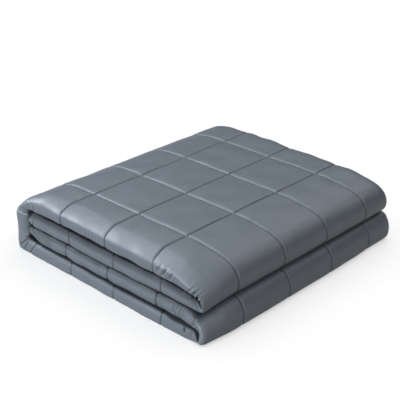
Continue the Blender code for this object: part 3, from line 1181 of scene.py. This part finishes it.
# painted shade: the base colour darkens in the thin line of each seam and in the puckers
seam_shade = close_to(cross, SEAM_SHADE_REACH)
seam_shade = Signal.maths("MAXIMUM", seam_shade, close_to(length, SEAM_SHADE_REACH))
seam_shade = Signal.maths("MAXIMUM", seam_shade, painted_pucker_shade)
slate = mixed(noise(uv, TONE_SCALE) * 0.5, SLATE, LIGHTER_SLATE)
feed(shader, "Base Color", mixed(seam_shade * 0.9, slate, SEAM_SHADE_SLATE))
feed(shader, "Roughness", 0.35 + 0.10 * noise(uv, GLOSS_SCALE))
shader.inputs["Specular IOR Level"].default_value = 0.46
shader.inputs["Sheen Weight"].default_value = 0.06
shader.inputs["Sheen Roughness"].default_value = 0.45
shader.inputs["Sheen Tint"].default_value = (0.75, 0.85, 1.0, 1.0)
print("colour and gloss of", cloth.name)


# %% [markdown]
# Hardly any light comes back out of the gaps, the puckers and the seams on the sides. There a Mix
# Shader fades to a second finish, almost black and matt, by the numbers that the mesh keeps.

# %% Dark in the gaps
GAP_COLOUR = (0.007, 0.008, 0.010, 1.0)
DARK_LINE_REACH = 0.016  # in cells

# a near-black matt finish, mixed in as painted shade
gap_inputs = {"Base Color": GAP_COLOUR, "Roughness": 0.9, "Specular IOR Level": 0.05}
gap = Signal.node("ShaderNodeBsdfPrincipled", gap_inputs)
# painted shade: near black on these seams, in the puckers and under the layer edges
lines = Signal.maths("MAXIMUM", close_to(kept("painted_shade_seam"), DARK_LINE_REACH), painted_pucker_shade)
dark = Signal.maths("MAXIMUM", kept("sheltered") ** 0.8 * 0.95, 0.8 * lines)
both = Signal.node("ShaderNodeMixShader", {0: dark, 1: Signal(shader.outputs[0]), 2: gap})
surface = cloth.node_tree.nodes["Material Output"].inputs["Surface"]
Signal.tree.links.new(both.socket, surface)
blanket.data.materials.append(cloth)
print(cloth.name, "of", len(cloth.node_tree.nodes), "nodes")


# %% [markdown]
# The thread is the cloth's colour and a little rougher, with a pale painted highlight where it catches
# the light.

# %% Thread
THREAD_DARK = (0.040, 0.046, 0.054, 1.0)
THREAD_PAINTED_HIGHLIGHT = (0.55, 0.60, 0.64, 1.0)

thread, shader = new_material("polyester_thread")
# the pale colour is a painted highlight on the thread of the top
feed(shader, "Base Color", mixed(kept("painted_glint"), THREAD_DARK, THREAD_PAINTED_HIGHLIGHT))
shader.inputs["Roughness"].default_value = 0.45
stitches.data.materials.append(thread)
print("finishes:", [material.name for material in bpy.data.materials])


# %% [markdown]
# ## The floor
#
# The floor is a very large pale plane. It glows a little, to be as pale as in the photograph without
# strong lamps. Light linking keeps that glow to the floor, or it would light the blanket from below.

# %% Floor
FLOOR_SIZE = 40.0
FLOOR_GLOW = 0.46

bpy.ops.object.select_all(action="DESELECT")
bpy.ops.mesh.primitive_plane_add(size=FLOOR_SIZE, location=(0.0, 0.0, 0.0))
floor = bpy.context.object
floor.name = "floor"
floor_paint, shader = new_material("pale_floor")
shader.inputs["Base Color"].default_value = (0.9, 0.9, 0.9, 1.0)
shader.inputs["Roughness"].default_value = 0.9
shader.inputs["Emission Color"].default_value = (1.0, 1.0, 1.0, 1.0)
shader.inputs["Emission Strength"].default_value = FLOOR_GLOW
floor.data.materials.append(floor_paint)
lit_by_floor = bpy.data.collections.new("lit_by_floor")
lit_by_floor.objects.link(floor)
floor.light_linking.receiver_collection = lit_by_floor
print("a floor of", FLOOR_SIZE, "m")


# %% [markdown]
# ## The lights
#
# Satin shows its shape by broad, soft reflections, so large square lamps stand all round, strongest at
# the front and on the left. They are linked to the blanket alone, or they would draw six shadows.

# %% Lamps round the blanket
Lamp = namedtuple("Lamp", "name azimuth elevation size watts colour")

COOL = (0.915, 1.0, 1.07)
WARM = (1.04, 1.0, 0.96)
LAMPS = (
    Lamp("left_softbox", -150, 25, 1.20, 54.0, COOL),
    Lamp("high_softbox", -145, 64, 1.60, 24.0, COOL),
    Lamp("front_softbox", -90, 20, 1.80, 78.0, COOL),
    Lamp("right_softbox", -20, 12, 1.20, 10.5, WARM),
    Lamp("left_back_softbox", 160, 45, 1.00, 4.5, COOL),
    Lamp("back_softbox", 90, 50, 1.20, 5.5, COOL),
)
LAMP_DISTANCE = 2.4
AIM = Vector((0.0, 0.0, 0.05))


def softbox(lamp):
    """A square lamp on a sphere round the blanket, turned to its middle."""
    turn, rise = math.radians(lamp.azimuth), math.radians(lamp.elevation)
    flat_way = LAMP_DISTANCE * math.cos(rise)
    place = (flat_way * math.cos(turn), flat_way * math.sin(turn), LAMP_DISTANCE * math.sin(rise))
    bpy.ops.object.light_add(type="AREA", location=place)
    light = bpy.context.object
    light.name = lamp.name
    light.data.shape = "SQUARE"
    light.data.size = lamp.size
    light.data.energy = lamp.watts
    light.data.color = lamp.colour
    light.rotation_euler = (Vector(place) - AIM).to_track_quat("Z", "Y").to_euler()
    return light


lit_by_lamps = bpy.data.collections.new("lit_by_softboxes")
lit_by_lamps.objects.link(blanket)
lit_by_lamps.objects.link(stitches)
for lamp in LAMPS:
    softbox(lamp).light_linking.receiver_collection = lit_by_lamps
print(len(LAMPS), "lamps")


# %% [markdown]
# One very wide overhead light gives the soft shadow on the floor, and the world a trace of light from
# everywhere. The Standard view shows colours as they are, and keeps the floor pale.

# %% Overhead light and world
bpy.ops.object.light_add(type="SUN")
overhead = bpy.context.object
overhead.name = "overhead"
overhead.data.energy = 1.9
overhead.data.angle = math.radians(120)
world = bpy.data.worlds.new("studio")
bpy.context.scene.world = world
world.use_nodes = True
background = world.node_tree.nodes["Background"]
background.inputs["Color"].default_value = (1.0, 1.0, 1.0, 1.0)
background.inputs["Strength"].default_value = 0.02
bpy.context.scene.view_settings.view_transform = "Standard"
print("overhead light:", round(overhead.data.energy, 2))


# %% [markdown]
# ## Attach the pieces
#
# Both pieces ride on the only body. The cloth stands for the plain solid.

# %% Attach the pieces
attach(blanket, "root")
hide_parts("blanket")
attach(stitches, "root")
